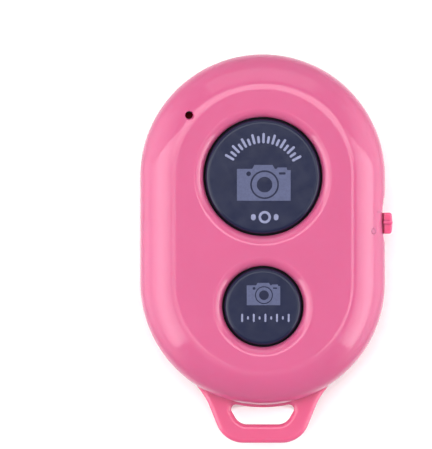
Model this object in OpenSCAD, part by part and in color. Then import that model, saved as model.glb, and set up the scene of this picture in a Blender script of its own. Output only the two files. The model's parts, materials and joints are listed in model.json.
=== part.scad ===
// Handheld wireless shutter remote: two clam shells, two sprung buttons, a side power switch,
// a coin cell behind a lift-off door, a circuit board and a lanyard loop.
// The remote lies on its back: back face at z = 0, panel up, light end towards +Y, loop towards -Y.
// The origin is the middle of the body's outline, on the back face.

/* [Body] */
// Width across the straight sides
body_w = 39; // [38.6:0.2:40]
// Length of the body without the lanyard loop
body_l = 55.8; // [55.4:0.2:57]
// Thickness from the back face to the front panel
body_t = 12; // [12:0.1:12.6]
// Wall thickness of both shells
wall = 1.4; // [1.3:0.05:1.5]

/* [Buttons] */
// Diameter of the large cap
large_cap_d = 18.2; // [17.6:0.1:18.4]
// Diameter of the small cap
small_cap_d = 12.2; // [11.6:0.1:12.4]
// Place of the small cap along the body
small_cap_y = -12.2; // [-12.4:0.1:-12]
// Travel of either cap when pressed
press_travel = 0.3; // [0.2:0.05:0.35]
// Gap all round each cap
cap_gap = 0.32; // [0.28:0.02:0.36]
// Width of the rounded lip round each cap
lip_w = 1.5; // [1.3:0.1:1.6]

/* [Power switch] */
// Length of the knob along the side
knob_l = 3.35; // [3:0.05:3.6]
// How far the knob stands out of the outline
knob_proud = 1.15; // [0.9:0.05:1.3]
// Travel of the knob from off to on
knob_travel = 1.5; // [1.2:0.1:1.5]
// Place of the knob along the side when off
knob_y = 1; // [0.8:0.1:1.2]

/* [Lanyard loop] */
// How far the loop reaches past the body
loop_reach = 6.1; // [5.9:0.1:6.4]
// Thickness of the loop
loop_t = 3; // [2.6:0.1:3.2]

/* [Coin cell] */
// Diameter of the cell
cell_d = 20; // [19.8:0.1:20]
// Thickness of the cell
cell_t = 3.2; // [3:0.1:3.2]

/* [Hidden] */
$fn = 96;
eps = 0.01;
far = 60;

// Outline of the body
body_r = body_w / 2;
end_y = (body_l - body_w) / 2;

// Heights of the main levels
part_z = 5.4;
panel_t = 1.5;
crease_r = 4;
ceiling_z = body_t - panel_t;
arc_over = 0.2;
front_arc_r = body_t - part_z + arc_over;
back_arc_r = part_z;

// Rear shell's upright rim that locates the front shell
rim_t = 0.6;
rim_h = 1.2;
rim_gap = 0.2;
rim_r = body_r - wall - rim_gap;
snap_r = 0.25;
snap_l = 1.6;
snap_y = [-6, 7.4];

// Circuit board
pcb_z = 5.3;
pcb_t = 0.8;
pcb_top = pcb_z + pcb_t;
pcb_r = 17.1;
notch_x = 16.1;
notch_y = [-3.4, 6.4];

// Lips: an arc that starts as a faint crease in the panel
lip_r = 1.85;
lip_start = 8;

// Caps
large_r = large_cap_d / 2;
small_r = small_cap_d / 2;
cap_top = body_t - 0.3;
cap_edge_r = 0.7;
cap_skin = 1.1;
flange_w = 1.15;
flange_t = 0.85;
flange_play = 0.12;
flange_z = ceiling_z - flange_play - flange_t;
foot_r = 1.5;
guide_t = 0.7;
guide_gap = 0.2;
guide_z = 9.2;
key_w = 1.6;
key_reach = 0.75;
key_gap = 0.15;
key_root = 0.4;

// Tact switches under the caps
tact_w = 4.5;
tact_base_t = 1.3;
tact_cavity_r = 1.75;
tact_cavity_d = 1;
dome_r = 1.6;
dome_t = 0.1;
stem_r = 1.1;
stem_top = 8;
stem_flange_r = 1.55;
stem_flange_t = 0.25;
cover_t = 0.2;
touch_gap = 0.03;
dome_rise = press_travel + 0.27;
dome_z = pcb_top + tact_base_t - tact_cavity_d + touch_gap;
stem_z = dome_z + dome_rise + touch_gap;

// Light beside the large cap
led_x = -11.7;
led_y = 18.13;
led_hole_r = 0.6;
led_tube_r = 1.5;
led_bore_r = 1;
led_tube_z = 8;
led_skin_t = 1.2;

// Screws that hold the shells together through the board
screw_at = [[13.2, 12.2], [-13.2, 12.2], [13.3, -14], [-13.3, -14]];
screw_r = 0.7;
pilot_r = 0.72;
screw_head_r = 1.3;
screw_head_t = 0.9;
screw_end_z = 9.4;
sink_r = 1.5;
sink_z = 1.6;
front_boss_r = 1.7;
rear_boss_r = 2;
screw_hole_r = 0.85;

// Coin cell, its nest and the door
cell_r = cell_d / 2;
cell_y = -12;
cell_z = 1.35;
nest_r = cell_r + 0.15;
nest_t = 0.85;
nest_top = 4.6;
door_r = 10.9;
door_top_y = -1.2;
door_t = 0.9;
door_gap = 0.12;
door_corner_r = 1.2;
ledge_t = 0.95;
ledge_margin = 1.1;
seat_gap = 0.05;
leg_clear = 0.3;
leg_w = 3;
leg_t = 0.7;
leg_top = 2.5;
leg_y = cell_y + 7.4;
leg_x = 9.3;
pry_r = 1.6;
pry_sunk = 0.7;
pry_y = cell_y - door_r - 0.6;

// Contacts that reach the cell from the board
leaf_w = 4;
leaf_y = cell_y + cell_r + 0.05;
leaf_z = 2;
leaf_t = 0.18;
finger_l = 4.4;
finger_w = 1.8;
finger_tilt = 6;
leaf_play = 0.2;

// Slide switch on the board's edge
slider_x = [13.3, 16];
slider_l = 6.7;
slider_h = 1.4;
slider_y = knob_y + knob_travel / 2;
lever_w = 1.3;
lever_t = 0.7;
lever_z = 6.5;
lever_end_x = 17.1;
plate_x = [16.35, 17.3];
plate_z = [5.65, 7.9];
plate_l = 6.4;
neck_z = [5.55, 7.75];
slot_gap = 0.15;
knob_rib_w = 1.1;
knob_rib_h = 0.18;
knob_rib_depth = 1;
lever_play = 0.04;
scoop_r = 9;
scoop_depth = 0.75;
scoop_z = 6.2;
scoop_x = body_r + scoop_r - scoop_depth;

// Lanyard loop
loop_z = 1.9;
loop_end_y = -(body_l / 2) - loop_reach;
loop_corner_r = 4.5;
loop_corner_x = 3.06;
loop_corner_y = loop_end_y + loop_corner_r;
loop_lean = 22.8;
loop_flare_y = -26.2;
loop_root_x = 11.7;
loop_root_y = -23.6;
loop_bar_w = 2.95;
hole_top_r = body_r + 0.45;
hole_top_corner_r = 0.75;
hole_corner_r = 2.2;
hole_low_x = 2.45;
hole_low_y = loop_end_y + loop_bar_w + hole_corner_r;
hole_lean = 30;

// ---------- shared shapes ----------

// Sweeps a half profile (x = distance out, y = height) round the body's outline
module round_outline() {
    translate([0, end_y, 0]) rotate_extrude(angle = 180) children();
    translate([0, -end_y, 0]) rotate([0, 0, 180]) rotate_extrude(angle = 180) children();
    for (side = [0, 180])
        rotate([0, 0, side]) translate([0, end_y, 0]) rotate([90, 0, 0])
            linear_extrude(2 * end_y) children();
}

// Flat outline of the body at a distance r from its spine
module stadium(r) {
    translate([0, end_y]) circle(r);
    translate([0, -end_y]) circle(r);
    translate([-r, -end_y]) square([2 * r, 2 * end_y]);
}

module stadium_slab(r, z, t) {
    translate([0, 0, z]) linear_extrude(t) stadium(r);
}

module disc(r, z, t) {
    translate([0, 0, z]) cylinder(r = r, h = t);
}

module tube(r_out, r_in, z, t) {
    difference() {
        disc(r_out, z, t);
        disc(r_in, z - eps, t + 2 * eps);
    }
}

module block(x, y, z) {
    translate([x[0], y[0], z[0]]) cube([x[1] - x[0], y[1] - y[0], z[1] - z[0]]);
}

// Half section of the front shell: outside arc, crease into the flat panel, and hollow
module front_section() {
    arc_x = body_r - front_arc_r;
    rise = body_t - crease_r - part_z;
    run = sqrt(pow(front_arc_r - crease_r, 2) - rise * rise);
    difference() {
        intersection() {
            union() {
                square([arc_x + run, body_t]);
                translate([arc_x + run, body_t - crease_r]) circle(crease_r);
                translate([arc_x, part_z]) intersection() {
                    circle(front_arc_r);
                    polygon([[0, 0], [far * run, far * rise], [far * run, 0]]);
                }
            }
            translate([0, part_z]) square([body_r, body_t - part_z]);
        }
        intersection() {
            union() {
                square([arc_x, ceiling_z]);
                translate([arc_x, part_z]) circle(front_arc_r - wall);
            }
            translate([-eps, 0]) square([body_r, ceiling_z]);
        }
    }
}

// Half section of the rear shell: floor, quarter round side and hollow
module rear_section() {
    arc_x = body_r - back_arc_r;
    difference() {
        union() {
            square([arc_x, part_z]);
            intersection() {
                translate([arc_x, part_z]) circle(back_arc_r);
                square([body_r, part_z]);
            }
        }
        translate([-eps, wall]) square([arc_x + eps, part_z]);
        intersection() {
            translate([arc_x, part_z]) circle(back_arc_r - wall);
            square([body_r, far]);
        }
    }
}

// Cutter for a cap's hole with its rounded lip
module well_cutter(r) {
    hole_r = r + cap_gap;
    arc_x = hole_r + lip_w + lip_r * sin(lip_start);
    arc_z = body_t - lip_r * cos(lip_start);
    wall_z = arc_z + sqrt(lip_r * lip_r - (arc_x - hole_r) * (arc_x - hole_r));
    rotate_extrude() {
        square([hole_r, far]);
        difference() {
            translate([hole_r - eps, wall_z]) square([lip_w + eps, body_t - wall_z + 1]);
            translate([arc_x, arc_z]) circle(lip_r);
        }
    }
}

// Ring under the panel that guides a cap's flange, with slots for its keys
module guide_ring(r) {
    inner = r + flange_w + guide_gap;
    difference() {
        tube(inner + guide_t, inner, guide_z, ceiling_z - guide_z + eps);
        for (a = [0, 180])
            rotate([0, 0, a])
                block([inner - key_root, inner + far],
                      [-key_w / 2 - key_gap, key_w / 2 + key_gap], [0, far]);
    }
}

// Cap: crowned disc with a rounded edge, hollow skirt, flange, keys and a foot on the switch stem
module cap(r) {
    rotate_extrude() difference() {
        union() {
            translate([0, flange_z]) square([r + flange_w, flange_t]);
            translate([0, flange_z]) square([r, cap_top - cap_edge_r - flange_z]);
            translate([0, flange_z]) square([r - cap_edge_r, cap_top - flange_z]);
            translate([r - cap_edge_r, cap_top - cap_edge_r]) circle(cap_edge_r);
        }
        translate([-eps, flange_z - eps])
            square([r - cap_skin, cap_top - cap_skin - flange_z + eps]);
    }
    disc(foot_r, stem_top + touch_gap, cap_top - cap_skin - stem_top);
    for (a = [0, 180])
        rotate([0, 0, a])
            block([r + flange_w - key_root, r + flange_w + key_reach],
                  [-key_w / 2, key_w / 2], [flange_z, flange_z + flange_t]);
}

// ---------- tact switch pieces, centred under a cap ----------

module tact_base() {
    difference() {
        block([-tact_w / 2, tact_w / 2], [-tact_w / 2, tact_w / 2], [pcb_top, pcb_top + tact_base_t]);
        disc(tact_cavity_r, pcb_top + tact_base_t - tact_cavity_d, tact_cavity_d + eps);
    }
}

module tact_dome() {
    sphere_r = (dome_r * dome_r + dome_rise * dome_rise) / (2 * dome_rise);
    translate([0, 0, dome_z]) rotate_extrude()
        intersection() {
            translate([0, dome_rise - sphere_r]) difference() {
                circle(sphere_r);
                circle(sphere_r - dome_t);
            }
            square([dome_r, dome_rise]);
        }
}

module tact_stem() {
    disc(stem_flange_r, stem_z, stem_flange_t);
    disc(stem_r, stem_z, stem_top - stem_z);
}

module tact_cover() {
    z = pcb_top + tact_base_t;
    difference() {
        block([-tact_w / 2, tact_w / 2], [-tact_w / 2, tact_w / 2], [z, z + cover_t]);
        disc(stem_r + 0.15, z - eps, cover_t + 2 * eps);
    }
    for (a = [0, 180])
        rotate([0, 0, a])
            block([tact_w / 2, tact_w / 2 + 0.15], [-0.8, 0.8], [z - 0.9, z + cover_t]);
}

// ---------- coin cell bay ----------

// Outline of the door, grown by g
module door_outline(g) {
    r = door_corner_r;
    translate([0, cell_y]) circle(door_r + g);
    translate([-door_r - g, cell_y]) square([2 * (door_r + g), door_top_y - r - cell_y]);
    translate([-door_r + r, cell_y]) square([2 * (door_r - r), door_top_y + g - cell_y]);
    for (side = [-1, 1])
        translate([side * (door_r - r), door_top_y - r]) circle(r + g);
}

// Legs that stand on the door and slide into pockets beside the cell, grown by g
module door_legs(g) {
    for (side = [-1, 1])
        block([side * leg_x - leg_w / 2 - g, side * leg_x + leg_w / 2 + g],
              [leg_y - g, leg_y + leg_t + g], [door_t - g, leg_top + g]);
    low_y = cell_y - cell_r - leg_clear;
    block([-leg_w / 2 - g, leg_w / 2 + g], [low_y - leg_t - g, low_y + g], [door_t - g, leg_top + g]);
}

// ---------- lanyard loop ----------

// Outer outline: sides that lean in to a round-cornered end, flared into the body
module loop_outline() {
    side_x = loop_corner_x + loop_corner_r * cos(loop_lean);
    side_y = loop_corner_y - loop_corner_r * sin(loop_lean);
    flare_x = side_x + (loop_flare_y - side_y) * tan(loop_lean);
    for (side = [-1, 1])
        translate([side * loop_corner_x, loop_corner_y]) circle(loop_corner_r);
    polygon([
        [-loop_corner_x, loop_end_y], [loop_corner_x, loop_end_y],
        [side_x, side_y], [flare_x, loop_flare_y], [loop_root_x, loop_root_y], [0, -end_y],
        [-loop_root_x, loop_root_y], [-flare_x, loop_flare_y], [-side_x, side_y]
    ]);
}

// The slot a lanyard passes through: large round corners at the loop's end, small ones beside
// the body, and a far edge that follows the body's end
module loop_slot() {
    r = hole_top_corner_r;
    out = [cos(hole_lean), -sin(hole_lean)];
    ahead = [sin(hole_lean), cos(hole_lean)];
    low_edge = [hole_low_x, hole_low_y] + (hole_corner_r - eps) * out;
    foot = [hole_low_x, hole_low_y + end_y] + (hole_corner_r - r) * out;
    half_b = foot * ahead;
    far_d = hole_top_r + r - eps;
    reach = -half_b - sqrt(half_b * half_b - foot * foot + far_d * far_d);
    corner = foot + reach * ahead - [0, end_y];
    high_edge = corner + (r - eps) * out;
    difference() {
        union() {
            for (side = [-1, 1]) {
                translate([side * hole_low_x, hole_low_y]) circle(hole_corner_r);
                translate([side * corner[0], corner[1]]) circle(r);
            }
            polygon([
                [-hole_low_x, hole_low_y - hole_corner_r], [hole_low_x, hole_low_y - hole_corner_r],
                low_edge, high_edge, corner, [0, -end_y],
                [-corner[0], corner[1]], [-high_edge[0], high_edge[1]], [-low_edge[0], low_edge[1]]
            ]);
        }
        translate([0, -end_y]) circle(hole_top_r);
    }
}

// ---------- power switch ----------

// Sphere that hollows the side so that a fingertip reaches the knob
module side_scoop() {
    translate([scoop_x, slider_y, scoop_z]) sphere(scoop_r, $fn = 200);
}

// ---------- shells ----------

// Round bars that click the rear shell's rim into the front shell
module snap_bars(x, r, l) {
    for (side = [-1, 1], y = snap_y)
        translate([side * x, y - l / 2, part_z + rim_h / 2]) rotate([-90, 0, 0])
            cylinder(r = r, h = l);
}

module front_shell() {
    color([0.906, 0.435, 0.604]) difference() {
        union() {
            round_outline() front_section();
            translate([0, end_y, 0]) guide_ring(large_r);
            translate([0, small_cap_y, 0]) guide_ring(small_r);
            for (at = screw_at)
                translate([at[0], at[1], 0]) disc(front_boss_r, pcb_top + seat_gap, ceiling_z - pcb_top);
            translate([led_x, led_y, 0]) disc(led_tube_r, led_tube_z, ceiling_z + eps - led_tube_z);
        }
        translate([0, end_y, 0]) well_cutter(large_r);
        translate([0, small_cap_y, 0]) well_cutter(small_r);
        for (at = screw_at)
            translate([at[0], at[1], 0]) disc(pilot_r, 0, screw_end_z + 0.4);
        translate([led_x, led_y, 0]) {
            disc(led_hole_r, 0, far);
            disc(led_bore_r, 0, body_t - led_skin_t);
        }
        block([notch_x, far],
              [knob_y - knob_l / 2 - slot_gap, knob_y + knob_l / 2 + knob_travel + slot_gap],
              [0, neck_z[1] + slot_gap]);
        side_scoop();
        snap_bars(rim_r + 0.02, snap_r + 0.08, snap_l + 0.3);
    }
}

module rear_shell() {
    color([0.894, 0.416, 0.58]) difference() {
        union() {
            round_outline() rear_section();
            difference() {
                translate([0, 0, loop_z]) linear_extrude(loop_t) loop_outline();
                stadium_slab(body_r - wall, 0, far);
            }
            difference() {
                stadium_slab(rim_r, part_z - 1.5, rim_h + 1.5);
                stadium_slab(rim_r - rim_t, 0, far);
                block([0, far], notch_y, [part_z, far]);
            }
            snap_bars(rim_r - 0.02, snap_r, snap_l);
            for (at = screw_at)
                translate([at[0], at[1], 0]) disc(rear_boss_r, wall - eps, pcb_z - wall + eps);
            translate([0, cell_y, 0]) disc(nest_r + nest_t, wall - eps, nest_top - wall + eps);
            linear_extrude(door_t + ledge_t) door_outline(ledge_margin);
        }
        translate([0, 0, -1]) linear_extrude(door_t + seat_gap + 1) door_outline(door_gap);
        translate([0, cell_y, 0]) disc(nest_r, 0, far);
        door_legs(door_gap);
        translate([0, pry_y, -pry_sunk]) sphere(pry_r);
        block([-leaf_w / 2 - leaf_play, leaf_w / 2 + leaf_play],
              [cell_y + cell_r - leaf_play, leaf_y + 1], [leaf_z - seat_gap, far]);
        for (at = screw_at)
            translate([at[0], at[1], 0]) {
                disc(screw_hole_r, 0, far);
                disc(sink_r, -eps, sink_z + eps);
            }
        translate([0, 0, loop_z - eps]) linear_extrude(loop_t + 2 * eps) loop_slot();
        side_scoop();
    }
}

module battery_door() {
    color([0.894, 0.416, 0.58]) {
        linear_extrude(door_t) door_outline(0);
        door_legs(0);
    }
}

module large_button() {
    color([0.22, 0.23, 0.32]) translate([0, end_y, 0]) cap(large_r);
}

module small_button() {
    color([0.22, 0.23, 0.32]) translate([0, small_cap_y, 0]) cap(small_r);
}

module power_knob() {
    tip_x = body_r + knob_proud;
    color([0.86, 0.34, 0.5]) difference() {
        union() {
            block(plate_x, [knob_y - plate_l / 2, knob_y + plate_l / 2], plate_z);
            block([plate_x[0] + eps, tip_x - knob_rib_h],
                  [knob_y - knob_l / 2, knob_y + knob_l / 2], neck_z);
            block([tip_x - knob_rib_depth, tip_x],
                  [knob_y - knob_rib_w / 2, knob_y + knob_rib_w / 2],
                  [neck_z[0] + knob_rib_h, neck_z[1] - knob_rib_h]);
        }
        block([0, lever_end_x + seat_gap],
              [knob_y - lever_w / 2 - lever_play, knob_y + lever_w / 2 + lever_play],
              [lever_z - lever_play, lever_z + lever_t + lever_play]);
    }
}

// ---------- fasteners ----------

module case_screws() {
    drive_w = 0.35;
    drive_d = 0.45;
    color("silver") for (at = screw_at)
        translate([at[0], at[1], 0]) difference() {
            union() {
                disc(screw_head_r, sink_z - screw_head_t, screw_head_t);
                disc(screw_r, sink_z - eps, screw_end_z - sink_z);
            }
            for (a = [0, 90])
                rotate([0, 0, a])
                    block([-screw_head_r * 0.65, screw_head_r * 0.65], [-drive_w / 2, drive_w / 2],
                          [0, sink_z - screw_head_t + drive_d]);
        }
}

// ---------- circuit board ----------

module circuit_board() {
    color([0.1, 0.35, 0.2]) difference() {
        stadium_slab(pcb_r, pcb_z, pcb_t);
        for (at = screw_at)
            translate([at[0], at[1], 0]) disc(screw_hole_r + 0.1, 0, far);
        block([notch_x, far], notch_y, [0, far]);
    }
}

// Meandering copper track across the far end of the board
module board_antenna() {
    track = 0.5;
    pitch = 1.6;
    turns = 6;
    low_y = 20.6;
    high_y = 23.6;
    t = 0.05;
    color([0.85, 0.65, 0.2]) for (i = [0 : turns]) {
        x = (i - turns / 2) * pitch;
        block([x - track / 2, x + track / 2], [low_y, high_y], [pcb_top, pcb_top + t]);
        if (i < turns) {
            y = i % 2 == 0 ? high_y : low_y + track;
            block([x - track / 2, x + pitch + track / 2], [y - track, y], [pcb_top, pcb_top + t]);
        }
    }
}

module test_pads() {
    pad_r = 0.5;
    pads = 5;
    pitch = 1.9;
    color([0.85, 0.65, 0.2]) for (i = [0 : pads - 1])
        translate([(i - (pads - 1) / 2) * pitch, -22.3, 0]) disc(pad_r, pcb_top, 0.05);
}

// A moulded chip with legs along two sides
module legged_chip(at, size, legs) {
    leg = [0.35, 0.7];
    pitch = size[0] / legs;
    translate([at[0], at[1], pcb_top]) {
        translate([-size[0] / 2, -size[1] / 2, 0.08]) cube(size);
        for (side = [-1, 1], i = [0 : legs - 1])
            translate([(i - (legs - 1) / 2) * pitch, side * (size[1] + leg[1]) / 2, 0.1])
                cube([leg[0], leg[1] + 0.4, 0.2], center = true);
    }
}

// Chips that share a size, set on the board with their length along x
module chips(places, size) {
    for (at = places)
        translate([at[0] - size[0] / 2, at[1] - size[1] / 2, pcb_top]) cube(size);
}

module radio_chip() {
    color("dimgray") legged_chip([-7.2, -2.6], [5, 4.4, 0.85], 8);
}

module memory_chip() {
    color("dimgray") legged_chip([7.6, -2.8], [4, 2.6, 1], 4);
}

module crystal() {
    color("silver") chips([[0, -2.8]], [3.2, 2.5, 0.75]);
}

module chip_capacitors() {
    places = [[-11.6, -2], [-11.6, -3.6], [-3, -2.2], [-3, -3.6], [3.2, -2.2], [-6, 20]];
    color([0.7, 0.55, 0.4]) chips(places, [1, 0.5, 0.5]);
}

module chip_resistors() {
    places = [[3.2, -3.6], [-8.2, 19.4], [-8.2, 18.2], [11.6, -3], [5, 19.8]];
    color([0.15, 0.15, 0.15]) chips(places, [1, 0.5, 0.35]);
}

module indicator_led() {
    color([0.95, 0.95, 0.85]) {
        chips([[led_x, led_y]], [1.6, 0.8, 0.35]);
        chips([[led_x, led_y]], [0.9, 0.8, 0.6]);
    }
}

// ---------- tact switches ----------

module under_large_cap() {
    translate([0, end_y, 0]) children();
}

module under_small_cap() {
    translate([0, small_cap_y, 0]) children();
}

module large_switch_base() {
    color([0.12, 0.12, 0.13]) under_large_cap() tact_base();
}

module large_switch_dome() {
    color("silver") under_large_cap() tact_dome();
}

module large_switch_stem() {
    color([0.85, 0.85, 0.8]) under_large_cap() tact_stem();
}

module large_switch_cover() {
    color("silver") under_large_cap() tact_cover();
}

module small_switch_base() {
    color([0.12, 0.12, 0.13]) under_small_cap() tact_base();
}

module small_switch_dome() {
    color("silver") under_small_cap() tact_dome();
}

module small_switch_stem() {
    color([0.85, 0.85, 0.8]) under_small_cap() tact_stem();
}

module small_switch_cover() {
    color("silver") under_small_cap() tact_cover();
}

// ---------- slide switch ----------

module slide_switch_base() {
    skin = 0.25;
    color([0.12, 0.12, 0.13]) difference() {
        block(slider_x, [slider_y - slider_l / 2, slider_y + slider_l / 2], [pcb_top, pcb_top + slider_h]);
        block([slider_x[0] + 0.5, far], [slider_y - 2.3, slider_y + 2.3],
              [pcb_top + skin, pcb_top + slider_h - skin]);
    }
}

module slide_switch_frame() {
    t = 0.15;
    z = pcb_top + slider_h;
    color("silver") {
        block(slider_x, [slider_y - slider_l / 2, slider_y + slider_l / 2], [z, z + t]);
        for (side = [-1, 1])
            translate([0, slider_y + side * (slider_l + t) / 2, 0])
                block([slider_x[0] + 0.6, slider_x[1] - 0.6], [-t / 2, t / 2], [pcb_top, z + t]);
    }
}

module slide_switch_lever() {
    shuttle_l = 2.4;
    color([0.85, 0.85, 0.8]) {
        block([slider_x[0] + 0.7, slider_x[1] - 0.3], [knob_y - shuttle_l / 2, knob_y + shuttle_l / 2],
              [pcb_top + 0.3, pcb_top + slider_h - 0.3]);
        block([slider_x[1] - 0.5, lever_end_x], [knob_y - lever_w / 2, knob_y + lever_w / 2],
              [lever_z, lever_z + lever_t]);
    }
}

module slide_switch_pins() {
    pitch = 1.5;
    color("silver") for (i = [-1 : 1])
        translate([slider_x[0] - 0.5, slider_y + i * pitch, pcb_top])
            translate([0, -0.2, 0]) cube([0.5, 0.4, 0.15]);
}

// ---------- coin cell ----------

module cell_part() {
    translate([0, cell_y, cell_z]) rotate_extrude() children();
}

module cell_can() {
    skin = 0.25;
    color([0.8, 0.8, 0.82]) cell_part() {
        square([cell_r, skin]);
        translate([cell_r - skin, 0]) square([skin, cell_t - 0.15]);
        translate([cell_r - 0.55, cell_t - 0.35]) square([0.55, 0.2]);
    }
}

module cell_pellet() {
    color([0.25, 0.25, 0.27]) cell_part() translate([0, 0.3]) square([cell_r - 1.5, cell_t - 0.7]);
}

module cell_gasket() {
    color([0.1, 0.1, 0.1]) cell_part() {
        translate([cell_r - 0.95, 0.3]) square([0.6, cell_t - 0.7]);
        translate([cell_r - 0.95, 0.3]) square([0.3, cell_t - 0.3 - 0.12]);
    }
}

module cell_cap() {
    color([0.75, 0.75, 0.77]) cell_part() {
        translate([0, cell_t - 0.25]) square([cell_r - 1.05, 0.25]);
        translate([cell_r - 1.3, 0.6]) square([0.25, cell_t - 0.6]);
    }
}

// Sheet-metal strip under the board with two fingers on the cell's face
module negative_contact() {
    base_x = 1.4;
    base_y = 2;
    color("gold") translate([0, cell_y, 0]) {
        block([-base_x, base_x], [-base_y, base_y], [pcb_z - leaf_t, pcb_z]);
        for (a = [0, 180])
            rotate([0, 0, a]) translate([base_x - 0.1, -finger_w / 2, pcb_z - leaf_t])
                rotate([0, finger_tilt, 0]) cube([finger_l, finger_w, leaf_t / 1.5]);
    }
}

// Bent strip under the board that presses on the side of the cell
module positive_contact() {
    color("gold") {
        block([-leaf_w / 2, leaf_w / 2], [leaf_y, leaf_y + leaf_t], [leaf_z, pcb_z]);
        block([-leaf_w / 2, leaf_w / 2], [leaf_y, leaf_y + 2.2], [pcb_z - leaf_t, pcb_z]);
    }
}

front_shell();
rear_shell();
battery_door();
large_button();
small_button();
power_knob();
circuit_board();
board_antenna();
test_pads();
case_screws();
large_switch_base();
large_switch_dome();
large_switch_stem();
large_switch_cover();
small_switch_base();
small_switch_dome();
small_switch_stem();
small_switch_cover();
slide_switch_base();
slide_switch_frame();
slide_switch_lever();
slide_switch_pins();
radio_chip();
memory_chip();
crystal();
chip_capacitors();
chip_resistors();
indicator_led();
cell_can();
cell_pellet();
cell_gasket();
cell_cap();
negative_contact();
positive_contact();
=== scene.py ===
import json
import math

import bmesh
import bpy
from mathutils import Matrix, Vector
from mathutils.geometry import tessellate_polygon


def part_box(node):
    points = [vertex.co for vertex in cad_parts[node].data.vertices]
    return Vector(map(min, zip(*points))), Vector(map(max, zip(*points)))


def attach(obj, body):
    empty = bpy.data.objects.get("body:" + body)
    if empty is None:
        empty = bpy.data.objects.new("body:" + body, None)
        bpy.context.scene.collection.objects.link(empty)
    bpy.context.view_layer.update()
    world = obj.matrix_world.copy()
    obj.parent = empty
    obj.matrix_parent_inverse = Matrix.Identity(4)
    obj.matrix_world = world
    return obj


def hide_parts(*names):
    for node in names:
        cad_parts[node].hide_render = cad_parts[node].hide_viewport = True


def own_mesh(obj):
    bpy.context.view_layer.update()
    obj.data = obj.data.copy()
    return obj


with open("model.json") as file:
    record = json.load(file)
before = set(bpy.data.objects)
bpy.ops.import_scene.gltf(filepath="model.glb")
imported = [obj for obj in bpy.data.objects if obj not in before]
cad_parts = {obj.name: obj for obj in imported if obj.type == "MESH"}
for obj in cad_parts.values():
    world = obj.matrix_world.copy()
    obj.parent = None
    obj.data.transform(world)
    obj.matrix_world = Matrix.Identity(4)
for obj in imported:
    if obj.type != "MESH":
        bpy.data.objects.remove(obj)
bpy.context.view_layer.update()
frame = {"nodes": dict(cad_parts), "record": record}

# Geometry below is written in millimetres and scaled once, when a mesh is made.
MM = 0.001


def box_mm(node):
    """Lowest and highest corner of a CAD node, in millimetres."""
    low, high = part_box(node)
    return low / MM, high / MM


def middle(low, high):
    """Middle of a box, seen from above."""
    return ((low.x + high.x) / 2, (low.y + high.y) / 2)


# ---------- sizes taken from the frame ----------

shell_low, shell_high = box_mm("front_shell")
BODY_R = shell_high.x
END_Y = shell_high.y - BODY_R
PANEL_Z = shell_high.z
PART_Z = shell_low.z
LOOP_END_Y = box_mm("rear_shell")[0].y
door_low, door_high = box_mm("battery_door")
DOOR_R = door_high.x
DOOR_TOP_Y = door_high.y
DOOR_Y = door_low.y + DOOR_R
knob_low, knob_high = box_mm("power_knob")
KNOB_Y = middle(knob_low, knob_high)[1]
KNOB_TIP_X = knob_high.x
large_low, large_high = box_mm("large_button")
small_low, small_high = box_mm("small_button")
CAP_TOP_Z = large_high.z
FOOT_Z = large_low.z
led_low, led_high = box_mm("indicator_led")
LED_AT = middle(led_low, led_high)
pcb_low, pcb_high = box_mm("circuit_board")

# ---------- sizes of the mouldings ----------

# Steps in a full-size arc, and along each straight side of the body.
ARC_STEPS = 96
SIDE_STEPS = 84

# Tools that cut right through the body end here, beyond its side.
CLEAR_X = 25

# Shell.
WALL = 1.4
PANEL_T = 1.5
CEILING_Z = PANEL_Z - PANEL_T
FRONT_ARC_R = 6.8
FRONT_ARC_X = BODY_R - FRONT_ARC_R
BACK_ARC_R = PART_Z
BACK_ARC_X = BODY_R - BACK_ARC_R
CREASE_R = 4.0
EDGE_R = 0.12
SCREW_AT = [(side * x, y) for side in (-1, 1) for x, y in ((13.2, 12.2), (13.3, -14.0))]

# Indicator hole, and the lip round each cap's hole.
LED_HOLE_R = 0.6
LED_CHAMFER = 0.3
LIP_W = 1.5
LIP_R = 1.85
LIP_START = math.radians(8)
CAP_GAP = 0.32

# Button caps.
FLANGE_W = 1.15
FLANGE_T = 0.85
FLANGE_Z = CEILING_Z - FLANGE_T - 0.12
FLANGE_TOP_Z = FLANGE_Z + FLANGE_T
CAP_EDGE_R = 0.7
CAP_SKIN = 1.1
FOOT_R = 1.5
KEY_W = 1.6
KEY_REACH = 0.75
LARGE_AT = (0.0, middle(large_low, large_high)[1])
SMALL_AT = (0.0, middle(small_low, small_high)[1])
LARGE_R = (large_high.y - large_low.y) / 2 - FLANGE_W
SMALL_R = (small_high.y - small_low.y) / 2 - FLANGE_W

# Prints: ink above the cap, and the part of a print sunk in it.
PRINT_T = 0.03
PRINT_ROOT = 0.02
PRINT_EDGE = 0.01

# Battery door with its legs, the ledge it lies on, and the cell's nest.
DOOR_CORNER_R = 1.2
DOOR_T = 0.9
DOOR_GAP = 0.12
LEDGE_T = 0.95
LEDGE_MARGIN = 1.1
LEG_X = 9.3
NEST_R = 10.15
NEST_T = 0.85
NEST_TOP_Z = 4.6

# Power knob, and the fingertip hollow beside it.
KNOB_L = 3.35
KNOB_TRAVEL = 1.5
KNOB_GAP = 0.15
SLOT_TOP_Z = 7.9
SCOOP_R = 9.0
SCOOP_DEPTH = 0.75
SCOOP_Z = 6.2
SCOOP_BLEND = 0.25
SCOOP_AT = Vector((BODY_R + SCOOP_R - SCOOP_DEPTH, KNOB_Y + KNOB_TRAVEL / 2, SCOOP_Z))

# Lanyard loop.
LOOP_Z = 1.9
LOOP_T = 3.0
LOOP_EDGE_R = 0.7


# ---------- outlines: lists of points, anticlockwise ----------


def arc(centre, radius, start, stop, steps):
    """Points along an arc, angles in degrees."""
    points = []
    for i in range(steps + 1):
        a = math.radians(start + (stop - start) * i / steps)
        points.append((centre[0] + radius * math.cos(a), centre[1] + radius * math.sin(a)))
    return points


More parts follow.
